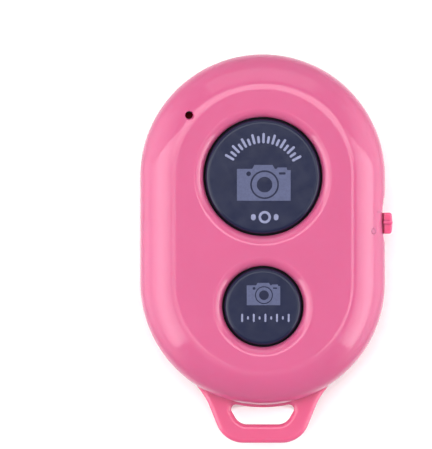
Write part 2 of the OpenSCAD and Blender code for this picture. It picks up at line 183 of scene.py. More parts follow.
def circle(centre, radius, steps=ARC_STEPS):
    """The same as an arc, without a second point where it closes."""
    return arc(centre, radius, 0, 360, steps)[:-1]


def straight(a, b, steps):
    """Points after a and before b."""
    return [
        (a[0] + (b[0] - a[0]) * i / steps, a[1] + (b[1] - a[1]) * i / steps)
        for i in range(1, steps)
    ]


def stadium(radius):
    """The body's outline at a distance from its spine."""
    top = arc((0, END_Y), radius, 0, 180, ARC_STEPS)
    bottom = arc((0, -END_Y), radius, 180, 360, ARC_STEPS)
    left = straight(top[-1], bottom[0], SIDE_STEPS)
    right = straight(bottom[-1], top[0], SIDE_STEPS)
    return top + left + bottom + right


def round_rect(low, high, r):
    """A rectangle with small round corners."""
    (x0, y0), (x1, y1) = low, high
    corners = ((x1 - r, y1 - r), (x0 + r, y1 - r), (x0 + r, y0 + r), (x1 - r, y0 + r))
    turns = (0, 90, 180, 270)
    return [p for centre, turn in zip(corners, turns) for p in arc(centre, r, turn, turn + 90, 6)]


def door_outline(grow):
    """The battery door, grown on all sides: a half circle and a square end with round corners."""
    corner_x = DOOR_R - DOOR_CORNER_R
    corner_y = DOOR_TOP_Y - DOOR_CORNER_R
    bottom = arc((0, DOOR_Y), DOOR_R + grow, 180, 360, ARC_STEPS)
    right = arc((corner_x, corner_y), DOOR_CORNER_R + grow, 0, 90, 10)
    left = arc((-corner_x, corner_y), DOOR_CORNER_R + grow, 90, 180, 10)
    return bottom + right + left


def mirrored(points):
    """The points reflected in the Y axis, in the opposite order."""
    return [(-x, y) for x, y in reversed(points)]


def loop_outline():
    """Lanyard loop: round-cornered end, leaning sides and a flare hidden in the body's wall."""
    corner_r, corner_x, lean = 4.5, 3.06, 22.8
    root_r, root_margin, steps = BODY_R - 0.8, 4, 12
    low = arc((corner_x, LOOP_END_Y + corner_r), corner_r, -90, -lean, 16)
    start, knee, end = Vector((8.7, -27.6)), Vector((9.55, -25.8)), Vector((11.7, -23.6))
    flare = []
    for i in range(steps + 1):
        t = i / steps
        p = start * (1 - t) ** 2 + knee * 2 * t * (1 - t) + end * t * t
        flare.append((p.x, p.y))
    right = low + flare
    angle = math.degrees(math.atan2(end.y + END_Y, end.x))
    root = arc((0, -END_Y), root_r, angle + root_margin, -180 - angle - root_margin, 40)
    return right + root + mirrored(right)


def slot_outline():
    """The slot in the loop, whose far edge runs alongside the body's end."""
    corner_r, corner_x, bar, lean = 2.2, 2.45, 2.95, 30
    top_r, top_corner_r = BODY_R + 0.45, 0.75
    centre = (corner_x, LOOP_END_Y + bar + corner_r)
    low = arc(centre, corner_r, -90, -lean, 10)
    tilt = math.radians(lean)
    ahead = Vector((math.sin(tilt), math.cos(tilt)))
    inward = Vector((-math.cos(tilt), math.sin(tilt)))
    foot = Vector(low[-1]) + inward * top_corner_r
    body = Vector((0, -END_Y))
    # The corner's centre is inside the slot, its radius short of the far edge.
    far_r = top_r + top_corner_r
    out = foot - body
    b = out.dot(ahead)
    reach = -b - math.sqrt(b * b - out.length_squared + far_r * far_r)
    corner = foot + ahead * reach
    facing = math.degrees(math.atan2(body.y - corner.y, body.x - corner.x)) % 360
    high = arc(corner, top_corner_r, -lean, facing, 10)
    edge = math.degrees(math.atan2(corner.y - body.y, corner.x - body.x))
    top = arc(body, top_r, edge, -90, 16)[1:]
    right = low + high + top
    return right + mirrored(right)[1:-1]


# ---------- surfaces ----------


class Surface:
    """Collects points and faces, in millimetres."""

    def __init__(self):
        self.points = []
        self.faces = []

    def loop(self, outline, z):
        """Adds an outline's points at a height. Gives their numbers."""
        first = len(self.points)
        self.points += [(x, y, z) for x, y in outline]
        return list(range(first, len(self.points)))

    def bridge(self, a, b):
        """A band of faces between two closed loops of the same length."""
        n = len(a)
        for i in range(n):
            j = (i + 1) % n
            self.faces.append((a[i], a[j], b[j], b[i]))

    def chain(self, loops):
        for a, b in zip(loops, loops[1:]):
            self.bridge(a, b)
        return loops

    def fill(self, *loops):
        """A flat face bounded by the first loop, with the others as holes."""
        rings = [[Vector(self.points[i]) for i in ring] for ring in loops]
        flat = [i for ring in loops for i in ring]
        for a, b, c in tessellate_polygon(rings):
            self.faces.append((flat[a], flat[b], flat[c]))

    def sweep(self, section, outline):
        """Loops of outline(out) at each (out, z) of a section."""
        return self.chain([self.loop(outline(out), z) for out, z in section])

    def block(self, low, high):
        """A box between two corners."""
        xs, ys, zs = zip(low, high)
        outline = [(xs[0], ys[0]), (xs[1], ys[0]), (xs[1], ys[1]), (xs[0], ys[1])]
        a, b = self.loop(outline, zs[0]), self.loop(outline, zs[1])
        self.bridge(a, b)
        self.fill(a)
        self.fill(b)

    def mesh(self, name):
        """The collected faces as a mesh in metres, joined up and facing outwards."""
        mesh = bpy.data.meshes.new(name)
        mesh.from_pydata([tuple(c * MM for c in p) for p in self.points], [], self.faces)
        work = bmesh.new()
        work.from_mesh(mesh)
        bmesh.ops.remove_doubles(work, verts=work.verts, dist=1e-7)
        bmesh.ops.recalc_face_normals(work, faces=work.faces)
        work.to_mesh(mesh)
        work.free()
        return mesh


def scoop(point):
    """Moves a point of the outside skin out of the fingertip hollow beside the power knob."""
    away = Vector(point) - SCOOP_AT
    gap = away.length
    blend = max(SCOOP_BLEND - abs(gap - SCOOP_R), 0) / SCOOP_BLEND
    wanted = max(gap, SCOOP_R) + blend * blend * SCOOP_BLEND / 4
    return tuple(SCOOP_AT + away * (wanted / gap))


def inset(outline, amount):
    """Moves a closed outline to its left by amount, keeping its corners."""
    moved = []
    n = len(outline)
    for i in range(n):
        here = Vector(outline[i])
        before = (here - Vector(outline[i - 1])).normalized()
        after = (Vector(outline[(i + 1) % n]) - here).normalized()
        normal = Vector((-(before + after).y, (before + after).x)).normalized()
        miter = amount / max(normal.dot(Vector((-after.y, after.x))), 0.5)
        moved.append(tuple(here + normal * miter))
    return moved


def slab(surface, outlines, z0, z1, edge, steps=5):
    """A plate with rounded edges. The first outline runs anticlockwise and holes clockwise."""
    section = []
    for i in range(steps + 1):
        t = math.radians(90) * i / steps
        section.append((edge * (1 - math.sin(t)), z0 + edge * (1 - math.cos(t))))
    section += [(inward, z0 + z1 - z) for inward, z in reversed(section)]
    # A narrow band at the start of each flat face keeps the shading of the edge off it.
    band = edge + 0.02
    section = [(band, z0)] + section + [(band, z1)]
    ends = ([], [])
    for outline in outlines:
        loops = [surface.loop(inset(outline, inward), z) for inward, z in section]
        surface.chain(loops)
        ends[0].append(loops[0])
        ends[1].append(loops[-1])
    surface.fill(*ends[0])
    surface.fill(*ends[1])


# ---------- turning meshes into pieces ----------


def piece(name, mesh, material, body, sharp=32):
    """Puts a mesh in the scene as a piece that rides on a body."""
    item = bpy.data.objects.new(name, mesh)
    bpy.context.scene.collection.objects.link(item)
    mesh.shade_smooth()
    mesh.set_sharp_from_angle(angle=math.radians(sharp))
    mesh.materials.clear()
    mesh.materials.append(material)
    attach(item, body)
    return item


def carved(mesh, tool_mesh, operation):
    """The mesh after an exact boolean with another. Both have to be closed."""
    base = bpy.data.objects.new("base", mesh)
    tool = bpy.data.objects.new("tool", tool_mesh)
    for item in (base, tool):
        bpy.context.scene.collection.objects.link(item)
    change = base.modifiers.new("carve", "BOOLEAN")
    change.operation = operation
    change.solver = "EXACT"
    change.use_self = operation == "UNION"
    change.object = tool
    graph = bpy.context.evaluated_depsgraph_get()
    result = bpy.data.meshes.new_from_object(base.evaluated_get(graph))
    result.name = mesh.name
    bpy.data.objects.remove(base)
    bpy.data.objects.remove(tool)
    return result


def revolve(surface, centre, section, steps=ARC_STEPS):
    """A solid of revolution. Its open section of (radius, z) starts and ends off the axis."""
    rings = [surface.loop(circle(centre, r, steps), z) for r, z in section]
    surface.chain(rings)
    surface.fill(rings[0])
    surface.fill(rings[-1])


def revolved_ring(surface, centre, section, steps=ARC_STEPS):
    """A ring of revolution from a closed section."""
    rings = [surface.loop(circle(centre, r, steps), z) for r, z in section]
    surface.chain(rings + rings[:1])


def tube(surface, centre, inner_r, outer_r, low_z, high_z, steps=ARC_STEPS):
    """A plain upright tube."""
    section = [(inner_r, low_z), (outer_r, low_z), (outer_r, high_z), (inner_r, high_z)]
    revolved_ring(surface, centre, section, steps)


# ---------- materials ----------


class Nodes:
    """A short way to write a procedural material."""

    def __init__(self, name):
        self.material = bpy.data.materials.new(name)
        self.material.use_nodes = True
        self.tree = self.material.node_tree
        self.shader = self.tree.nodes["Principled BSDF"]
        self.place = self.add("ShaderNodeTexCoord").outputs["Object"]

    def add(self, kind, **settings):
        node = self.tree.nodes.new(kind)
        for key, value in settings.items():
            setattr(node, key, value)
        return node

    def link(self, source, target):
        self.tree.links.new(source, target)

    def noise(self, size_mm, detail=3.0, roughness=0.5, stretch=(1, 1, 1)):
        """Noise whose features are about size_mm across, from 0 to 1."""
        scale = self.add("ShaderNodeMapping")
        scale.inputs["Scale"].default_value = stretch
        self.link(self.place, scale.inputs["Vector"])
        node = self.add("ShaderNodeTexNoise")
        node.inputs["Scale"].default_value = 1 / (size_mm * MM)
        node.inputs["Detail"].default_value = detail
        node.inputs["Roughness"].default_value = roughness
        self.link(scale.outputs["Vector"], node.inputs["Vector"])
        return node.outputs["Fac"]

    def ramp(self, source, low, high, start=0.3, stop=0.7):
        """Maps a source to values or colours between low and high."""
        node = self.add("ShaderNodeMapRange")
        node.inputs["From Min"].default_value = start
        node.inputs["From Max"].default_value = stop
        node.inputs["To Min"].default_value = low
        node.inputs["To Max"].default_value = high
        self.link(source, node.inputs["Value"])
        return node.outputs["Result"]

    def tint(self, source, colour_a, colour_b, start=0.3, stop=0.7):
        """Mixes two colours by a source."""
        node = self.add("ShaderNodeMix", data_type="RGBA")
        node.inputs["A"].default_value = (*colour_a, 1)
        node.inputs["B"].default_value = (*colour_b, 1)
        self.link(self.ramp(source, 0, 1, start, stop), node.inputs["Factor"])
        return node.outputs["Result"]

    def bump(self, layers):
        """Stacks bumps of (height source, depth in mm, strength)."""
        normal = None
        for height, depth, strength in layers:
            node = self.add("ShaderNodeBump")
            node.inputs["Distance"].default_value = depth * MM
            node.inputs["Strength"].default_value = strength
            self.link(height, node.inputs["Height"])
            if normal is not None:
                self.link(normal, node.inputs["Normal"])
            normal = node.outputs["Normal"]
        self.link(normal, self.shader.inputs["Normal"])


def shade(colour, factor):
    """A darker or lighter colour."""
    return tuple(min(c * factor, 1) for c in colour)


def glossy_plastic(name, colour, gloss=0.09, scatter=0.6):
    """Polished moulded plastic: faint flow marks, sink ripples, fine handling scratches."""
    n = Nodes(name)
    flow = n.noise(9, detail=2)
    n.link(n.tint(flow, shade(colour, 0.985), shade(colour, 1.015)), n.shader.inputs["Base Color"])
    smear = n.noise(2.5, detail=6, roughness=0.65)
    n.link(n.ramp(smear, gloss, gloss + 0.05, 0.35, 0.75), n.shader.inputs["Roughness"])
    ripple = n.noise(6, detail=1)
    scratch = n.noise(0.5, detail=5, roughness=0.7, stretch=(1, 0.06, 1))
    n.bump([(ripple, 0.02, 0.25), (scratch, 0.0015, 0.12)])
    n.shader.inputs["IOR"].default_value = 1.52
    n.shader.inputs["Subsurface Weight"].default_value = scatter
    n.shader.inputs["Subsurface Radius"].default_value = (1.0, 0.35, 0.5)
    n.shader.inputs["Subsurface Scale"].default_value = 1.5 * MM
    return n.material


def satin_plastic(name, colour, rough=0.32, grain_mm=0.12, shine=0.5):
    """Moulded plastic with a fine spark-eroded texture and slightly polished patches."""
    n = Nodes(name)
    n.shader.inputs["Specular IOR Level"].default_value = shine
    patch = n.noise(3.5, detail=3)
    n.link(n.tint(patch, shade(colour, 0.96), shade(colour, 1.04)), n.shader.inputs["Base Color"])
    worn = n.noise(1.4, detail=5, roughness=0.6)
    n.link(n.ramp(worn, rough - 0.05, rough + 0.06), n.shader.inputs["Roughness"])
    grain = n.noise(grain_mm, detail=4, roughness=0.6)
    n.bump([(grain, 0.004, 0.35)])
    n.shader.inputs["IOR"].default_value = 1.5
    return n.material


def ink(name, colour):
    """Pad-printed ink: slightly uneven cover and a faint dot grain."""
    n = Nodes(name)
    cover = n.noise(0.35, detail=5, roughness=0.65)
    n.link(n.tint(cover, shade(colour, 0.82), shade(colour, 1.12)), n.shader.inputs["Base Color"])
    n.link(n.ramp(cover, 0.4, 0.55), n.shader.inputs["Roughness"])
    n.bump([(cover, 0.003, 0.3)])
    n.shader.inputs["Specular IOR Level"].default_value = 0.2
    return n.material


def metal(name, colour, rough=0.25, brushed=(1, 1, 1)):
    """Plated or rolled metal: stains and a fine grain, which can be drawn out along one axis."""
    n = Nodes(name)
    grain = n.noise(0.25, detail=5, roughness=0.65, stretch=brushed)
    stain = n.noise(2.2, detail=3)
    n.link(n.tint(stain, shade(colour, 0.9), shade(colour, 1.05)), n.shader.inputs["Base Color"])
    n.link(n.ramp(grain, rough - 0.08, rough + 0.12), n.shader.inputs["Roughness"])
    n.bump([(grain, 0.003, 0.35)])
    n.shader.inputs["Metallic"].default_value = 1.0
    return n.material


def solder_mask(name, colour):
    """Green lacquer over woven glass, with faint tracks underneath."""
    n = Nodes(name)
    thread = 0.45 * MM
    weave = n.add("ShaderNodeTexWave", wave_type="BANDS", bands_direction="X")
    weave.inputs["Scale"].default_value = 1 / thread / 20
    weave.inputs["Distortion"].default_value = 0.6
    n.link(n.place, weave.inputs["Vector"])
    tracks = n.noise(1.1, detail=1, stretch=(1, 0.25, 1))
    n.link(
        n.tint(tracks, shade(colour, 0.75), shade(colour, 1.35), 0.47, 0.53),
        n.shader.inputs["Base Color"],
    )
    n.link(n.ramp(tracks, 0.25, 0.38), n.shader.inputs["Roughness"])
    n.bump([(tracks, 0.02, 0.3), (weave.outputs["Fac"], 0.004, 0.2)])
    return n.material


PINK = (0.498, 0.0938, 0.208)
# The rear shell's pink is lighter and redder than the front's. This is painted light that stands
# in for light shining through the thin lanyard loop, and the battery door takes it too.
REAR_PINK_PAINTED_LIGHT = (0.56, 0.089, 0.192)
DEEP_PINK = (0.66, 0.075, 0.19)
NAVY = (0.0085, 0.0112, 0.035)
PRINT = (0.072, 0.081, 0.154)
BRIGHT_PRINT = (0.2, 0.21, 0.33)

MATERIALS = {
    "front_pink": glossy_plastic("front_shell_plastic", PINK),
    "rear_pink": glossy_plastic("rear_shell_plastic_painted_light", REAR_PINK_PAINTED_LIGHT),
    "door_pink": glossy_plastic("door_plastic", shade(REAR_PINK_PAINTED_LIGHT, 0.97), gloss=0.11),
    "knob_pink": glossy_plastic("knob_plastic", DEEP_PINK, gloss=0.13),
    "cap_navy": satin_plastic("cap_plastic", NAVY, rough=0.2, shine=0.28),
    "board_green": solder_mask("solder_mask", (0.02, 0.13, 0.05)),
    "copper_gold": metal("gold_flash", (0.83, 0.58, 0.22)),
    "screw_steel": metal("screw_zinc", (0.6, 0.6, 0.62), rough=0.3),
    "switch_black": satin_plastic("black_nylon", (0.02, 0.02, 0.022), rough=0.45),
    "switch_ivory": satin_plastic("ivory_nylon", (0.62, 0.6, 0.52), rough=0.42),
    "spring_steel": metal("spring_steel", (0.68, 0.67, 0.65), rough=0.22, brushed=(0.08, 1, 1)),
    "tin": metal("tinned_metal", (0.72, 0.72, 0.73), rough=0.3),
    "chip_black": satin_plastic("epoxy", (0.022, 0.022, 0.024), rough=0.5),
    "capacitor_tan": satin_plastic("ceramic", (0.36, 0.23, 0.12), rough=0.4),
    "led_resin": satin_plastic("led_resin", (0.8, 0.03, 0.05), rough=0.5, shine=0.05),
    "cell_steel": metal("cell_steel", (0.74, 0.74, 0.75), rough=0.2, brushed=(0.1, 1, 1)),
    "pellet_grey": satin_plastic("electrode", (0.09, 0.09, 0.1), rough=0.6),
    "gasket_black": satin_plastic("gasket", (0.02, 0.02, 0.02), rough=0.5),
}
PRINT_INK = ink("print_ink", PRINT)
MARK_INK = ink("mark_ink", BRIGHT_PRINT)
# Painted shade: the caps' skirts get a near-black matt colour so that the gap round each cap reads
# dark.
CAP_SKIRT_PAINTED_SHADE = satin_plastic("cap_skirt_painted_shade", (0.004, 0.003, 0.005), rough=0.7, shine=0.1)

for entry in frame["record"]["subparts"]:
    node = frame["nodes"][entry["node"]]
    node.data.materials.clear()
    node.data.materials.append(MATERIALS[entry["material_slot"]])


# ---------- front shell ----------


def well(surface, centre, cap_r):
    """Lip and wall of a cap's hole. Gives its loops at the panel and at the ceiling."""
    hole_r = cap_r + CAP_GAP
    lip_r = hole_r + LIP_W
    arc_x = lip_r + LIP_R * math.sin(LIP_START)
    arc_z = PANEL_Z - LIP_R * math.cos(LIP_START)
    stop = 180 - math.degrees(math.acos((arc_x - hole_r) / LIP_R))
    section = [(lip_r + 0.12, PANEL_Z), (lip_r + 0.05, PANEL_Z)]
    section += arc((arc_x, arc_z), LIP_R, 90 + math.degrees(LIP_START), stop, 18)
    # The lip's crease is eased a little.
    section[2] = (lip_r - 0.04, section[2][1] - 0.005)
    section += [(hole_r, CEILING_Z), (hole_r + 0.05, CEILING_Z)]
    rings = [surface.loop(circle(centre, r, 2 * ARC_STEPS), z) for r, z in section]
    surface.chain(rings)
    return rings[0], rings[-1]


def front_section():
    """Two sections: panel's edge, crease, side and parting line, and the inside back up."""
    rise = PANEL_Z - CREASE_R - PART_Z
    run = math.sqrt((FRONT_ARC_R - CREASE_R) ** 2 - rise**2)
    turn = math.degrees(math.atan2(run, rise))
    crease = (FRONT_ARC_X + run, PANEL_Z - CREASE_R)
    side = (FRONT_ARC_X, PART_Z)
    edge = (BODY_R - EDGE_R, PART_Z + EDGE_R)
    low = math.degrees(math.asin(EDGE_R / FRONT_ARC_R))
    outside = [(crease[0] - 0.05, PANEL_Z)]
    outside += arc(crease, CREASE_R, 90, 90 - turn, 10)
    outside += arc(side, FRONT_ARC_R, 90 - turn, low, 40)[1:]
    outside += arc(edge, EDGE_R, 0, -90, 4)[1:]
    inner_r = FRONT_ARC_R - WALL
    high = math.degrees(math.asin((CEILING_Z - PART_Z) / inner_r))
    inside = arc(side, inner_r, 0, high, 24)
    return outside, inside + [(inside[-1][0] - 0.05, CEILING_Z)]


def front_shell():
    skin = Surface()
    outside, inside = front_section()
    rows = skin.sweep(outside, stadium)
    skin.points = [scoop(p) for p in skin.points]
    inner_rows = skin.sweep(inside, stadium)
    skin.bridge(rows[-1], inner_rows[0])
    large_top, large_ceiling = well(skin, LARGE_AT, LARGE_R)
    small_top, small_ceiling = well(skin, SMALL_AT, SMALL_R)
    skin.fill(rows[0], large_top, small_top)
    skin.fill(inner_rows[-1], large_ceiling, small_ceiling)

    # The indicator's hole with its chamfer, and the slot that the power knob moves in.
    tools = Surface()
    led_z = PANEL_Z - 0.28
    mouth_r = LED_HOLE_R + LED_CHAMFER
    drill = [(LED_HOLE_R, 7), (LED_HOLE_R, led_z - 0.35), (LED_HOLE_R + 0.05, led_z - 0.18)]
    drill += [(mouth_r, led_z + 0.25), (mouth_r, PANEL_Z + 1)]
    revolve(tools, LED_AT, drill, 48)
    slot_low_y = KNOB_Y - KNOB_L / 2 - KNOB_GAP
    slot_high_y = KNOB_Y + KNOB_L / 2 + KNOB_TRAVEL + KNOB_GAP
    tools.block((16.1, slot_low_y, PART_Z - 1), (CLEAR_X, slot_high_y, SLOT_TOP_Z))
    mesh = carved(skin.mesh("front_shell_skin"), tools.mesh("front_tools"), "DIFFERENCE")
    shell = piece("front_shell_skin", mesh, MATERIALS["front_pink"], "housing")
    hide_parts("front_shell")

    # Guide rings for the caps, the indicator's tube, and posts down to the board.
    inner = Surface()
    for centre, cap_r in ((LARGE_AT, LARGE_R), (SMALL_AT, SMALL_R)):
        guide_r = cap_r + FLANGE_W + 0.2
        tube(inner, centre, guide_r, guide_r + 0.7, 9.2, CEILING_Z)
    tube(inner, LED_AT, 1.0, 1.5, 8.0, CEILING_Z, 48)
    for centre in SCREW_AT:
        post_r = 1.7
        revolve(inner, centre, [(post_r, pcb_high.z + 0.05), (post_r, CEILING_Z)], 32)
    piece("front_shell_inside", inner.mesh("front_shell_inside"), MATERIALS["front_pink"],
          "housing")


def side_marks():
    """Moulded ring and bar beside the power knob, for off and on."""
    raised = 0.05
    off_ring, on_bar = Surface(), Surface()
    crown = math.sqrt(0.5) * raised / 2
    section = [(0.36, -raised), (0.36, crown), (0.4, raised)]
    section += [(0.46, raised), (0.5, crown), (0.5, -raised)]
    revolved_ring(off_ring, (0, 0), section, 40)
    outline = arc((0.3, 0), 0.08, -90, 90, 8) + arc((-0.3, 0), 0.08, 90, 270, 8)
    slab(on_bar, [outline], -raised, raised, 0.03, 3)
    # Each mark is turned to lie on the side's arc.
    for name, mark, x, y in (
        ("off_ring", off_ring, 17.6, KNOB_Y - 1.25),
        ("on_bar", on_bar, 18.4, KNOB_Y + 1.75),
    ):
        lean = math.asin((x - FRONT_ARC_X) / FRONT_ARC_R)
        turn = Matrix.Rotation(lean, 3, "Y")
        foot_x = FRONT_ARC_X + FRONT_ARC_R * math.sin(lean)
        foot = Vector((foot_x, y, PART_Z + FRONT_ARC_R * math.cos(lean)))
        mark.points = [tuple(foot + turn @ Vector(p)) for p in mark.points]
        piece(name, mark.mesh(name), MATERIALS["front_pink"], "housing")


# ---------- rear shell ----------


def door_block(name, stops):
    """A solid in the door's outline, from stops of (growth, height)."""
    block = Surface()
    rings = [block.loop(door_outline(grow), z) for grow, z in stops]
    block.chain(rings)
    block.fill(rings[0])
    block.fill(rings[-1])
    return block.mesh(name)


def revolved(name, places, section, steps):
    """The same solid of revolution at each of some places."""
    posts = Surface()
    for centre in places:
        revolve(posts, centre, section, steps)
    return posts.mesh(name)


def door_legs(surface, low_z, high_z, gap=0.0):
    """The door's three legs, or the slots for them where a gap is given."""
    half_w, thick = 1.5 + gap, 0.7
    for x, y in ((-LEG_X, 7.4), (LEG_X, 7.4), (0, -11.0)):
        low_y, high_y = DOOR_Y + y - gap, DOOR_Y + y + thick + gap
        surface.block((x - half_w, low_y, low_z), (x + half_w, high_y, high_z))


def rear_shell():
    skin = Surface()
    low = math.degrees(math.asin(EDGE_R / BACK_ARC_R))
    outside = arc((BODY_R - EDGE_R, PART_Z - EDGE_R), EDGE_R, 90, 0, 4)
    outside += arc((BACK_ARC_X, PART_Z), BACK_ARC_R, -low, -90, 40)[1:]
    outside += [(BACK_ARC_X - 0.05, 0)]
    inside = arc((BACK_ARC_X, PART_Z), BACK_ARC_R - WALL, 0, -90, 24)
    inside += [(BACK_ARC_X - 0.05, WALL)]
    rows = skin.sweep(outside, stadium)
    skin.points = [scoop(p) for p in skin.points]
    inner_rows = skin.sweep(inside, stadium)
    skin.bridge(rows[0], inner_rows[0])
    skin.fill(rows[-1])
    skin.fill(inner_rows[-1])

    ledge_low_z, ledge_high_z = DOOR_T + 0.05, DOOR_T + LEDGE_T
    ledge = [(LEDGE_MARGIN, WALL - 0.2), (LEDGE_MARGIN, ledge_high_z)]
    mouth = [(0.07, -1), (0.07, -0.01), (0.02, 0.02), (0, 0.06), (0, ledge_low_z)]
    nest_at = [(0, DOOR_Y)]
    nest = [(NEST_R + NEST_T, WALL - 0.1), (NEST_R + NEST_T, NEST_TOP_Z)]
    cell_hole = [(NEST_R, ledge_low_z - 0.3), (NEST_R, NEST_TOP_Z + 1)]
    boss = [(2.0, 0.9), (2.0, pcb_low.z)]
    screw_well = [(1.62, -1), (1.62, 0.0), (1.5, 0.5), (1.5, 1.6), (0.85, 1.6), (0.85, 7)]
    # A ball that leaves room for a fingernail beside the door.
    pry_r, pry_z = 1.6, -0.7
    pry = [
        (pry_r * math.sin(math.radians(a)), pry_z - pry_r * math.cos(math.radians(a)))
        for a in range(6, 176, 9)
    ]
    # Slots for the door's legs, and a gap in the nest's wall for the cell's side contact.
    slots = Surface()
    door_legs(slots, 0.8, 2.62, DOOR_GAP)
    slots.block((-2.2, DOOR_Y + 9.8, 1.95), (2.2, DOOR_Y + 11.05, 9))

    # One cut at a time and in this order, which keeps the mesh closed after each.
    mesh = skin.mesh("rear_shell_skin")
    for tool, operation in (
        (revolved("bosses", SCREW_AT, boss, 40), "UNION"),
        (door_block("ledge", ledge), "UNION"),
        (revolved("nest", nest_at, nest, 2 * ARC_STEPS), "UNION"),
        (door_block("mouth", [(DOOR_GAP + grow, z) for grow, z in mouth]), "DIFFERENCE"),
        (revolved("cell_hole", nest_at, cell_hole, 2 * ARC_STEPS), "DIFFERENCE"),
        (revolved("screw_wells", SCREW_AT, screw_well, 48), "DIFFERENCE"),
        (revolved("pry_notch", [(0, DOOR_Y - DOOR_R - 0.6)], pry, 40), "DIFFERENCE"),
        (slots.mesh("rear_tools"), "DIFFERENCE"),
    ):
        mesh = carved(mesh, tool, operation)
    shell = piece("rear_shell_skin", mesh, MATERIALS["rear_pink"], "housing")
    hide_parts("rear_shell")

    tab = Surface()
    outlines = [loop_outline(), list(reversed(slot_outline()))]
    slab(tab, outlines, LOOP_Z, LOOP_Z + LOOP_T, LOOP_EDGE_R)
    piece("lanyard_loop", tab.mesh("lanyard_loop"), MATERIALS["rear_pink"], "housing")

    # The rim that stands inside the front shell, open where the power knob passes.
    rim, gap = Surface(), Surface()
    rim_low_z, rim_high_z = 4.6, PART_Z + 1.2
    section = [(17.3, rim_low_z), (17.9, rim_low_z), (17.9, PART_Z + 1.1)]
    section += [(17.8, rim_high_z), (17.3, rim_high_z)]
    rim_rows = rim.sweep(section, stadium)
    rim.bridge(rim_rows[-1], rim_rows[0])
    gap.block((10, -3.4, PART_Z - 0.02), (CLEAR_X, 6.4, 9))
    mesh = carved(rim.mesh("rear_shell_rim"), gap.mesh("rim_gap"), "DIFFERENCE")
    piece("rear_shell_rim", mesh, MATERIALS["rear_pink"], "housing")


def battery_door():
    door = Surface()
    slab(door, [door_outline(0)], 0, DOOR_T, 0.12, 3)
    door_legs(door, DOOR_T - 0.1, 2.5)
    skin = piece("battery_door_skin", door.mesh("battery_door_skin"), MATERIALS["door_pink"],
                 "door")
    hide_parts("battery_door")


# ---------- buttons and their prints ----------


def cap(name, centre, cap_r, body, node):
    """A button cap: rounded top, and a near-black matt skirt under the shell, which paints shade
    into the gap round the cap.
    """
    top_z, edge_z = CAP_TOP_Z, CAP_TOP_Z - CAP_EDGE_R
    rim_r, flange_r, axis_r = cap_r - CAP_EDGE_R, cap_r + FLANGE_W, 0.3
    section = [(axis_r, top_z), (rim_r - 0.06, top_z)]
    section += arc((rim_r, edge_z), CAP_EDGE_R, 90, 0, 14)
    section += [(cap_r, FLANGE_TOP_Z + 0.05), (cap_r + 0.05, FLANGE_TOP_Z)]
    section += [(flange_r - 0.06, FLANGE_TOP_Z), (flange_r, FLANGE_TOP_Z - 0.06)]
    section += [(flange_r, FLANGE_Z), (cap_r - CAP_SKIN, FLANGE_Z)]
    section += [(cap_r - CAP_SKIN, top_z - CAP_SKIN), (FOOT_R, top_z - CAP_SKIN)]
    section += [(FOOT_R, FOOT_Z), (axis_r, FOOT_Z)]
    shape = Surface()
    revolve(shape, centre, section, 2 * ARC_STEPS)
    # A key on each side keeps the cap from turning.
    for side in (-1, 1):
        ends = sorted((side * (flange_r - 0.3), side * (flange_r + KEY_REACH)))
        low = (ends[0], centre[1] - KEY_W / 2, FLANGE_Z)
        high = (ends[1], centre[1] + KEY_W / 2, FLANGE_TOP_Z)
        shape.block(low, high)
    skin = piece(name, shape.mesh(name), MATERIALS["cap_navy"], body)
    # Faces below the flange's top take the near-black skirt colour, painted shade for the gap
    # round the cap.
    skin.data.materials.append(CAP_SKIRT_PAINTED_SHADE)
    for face in skin.data.polygons:
        if face.center.z < (FLANGE_TOP_Z + 0.1) * MM:
            face.material_index = 1
    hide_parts(node)


def printed(surface, outlines):
    """A flat print on top of a cap. The first outline runs anticlockwise and holes clockwise."""
    slab(surface, outlines, CAP_TOP_Z - PRINT_ROOT, CAP_TOP_Z + PRINT_T, PRINT_EDGE, 1)


def pill(surface, a, b, width):
    """A printed stroke with round ends."""
    a, b = Vector(a), Vector(b)
    along = math.degrees(math.atan2(b.y - a.y, b.x - a.x))
    outline = arc(a, width / 2, along + 90, along + 270, 12)
    outline += arc(b, width / 2, along - 90, along + 90, 12)
    printed(surface, [outline])


def ring(surface, centre, radius, width):
    """A printed ring, measured to the middle of its stroke."""
    outer = circle(centre, radius + width / 2, 64)
    inner = list(reversed(circle(centre, radius - width / 2, 64)))
    printed(surface, [outer, inner])


def pictogram(surface, centre, width):
    """A plain camera sign: body with a finder hump and a release, and a ringed lens."""
    k = width / 8.5

    def at(x, y):
        return (centre[0] + x * k, centre[1] + y * k)

    body = [at(-4.25, -2.55), at(4.25, -2.55), at(4.25, 2.3), at(3.7, 2.32)]
    body += [at(3.62, 2.72), at(2.15, 2.72), at(2.05, 2.5), at(1.75, 2.5)]
    body += [at(1.4, 3.12), at(-1.5, 3.12), at(-1.85, 2.5), at(-4.25, 2.5)]
    lens_at = at(0.12, 0.0)
    lens = circle(lens_at, 2.27 * k, 72)
    lamp = circle(at(-2.4, 1.72), 0.37 * k, 24)
    window = round_rect(at(2.4, 1.6), at(3.45, 1.95), 0.12 * k)
    printed(surface, [body] + [list(reversed(hole)) for hole in (lens, lamp, window)])
    ring(surface, lens_at, 1.62 * k, 0.78 * k)


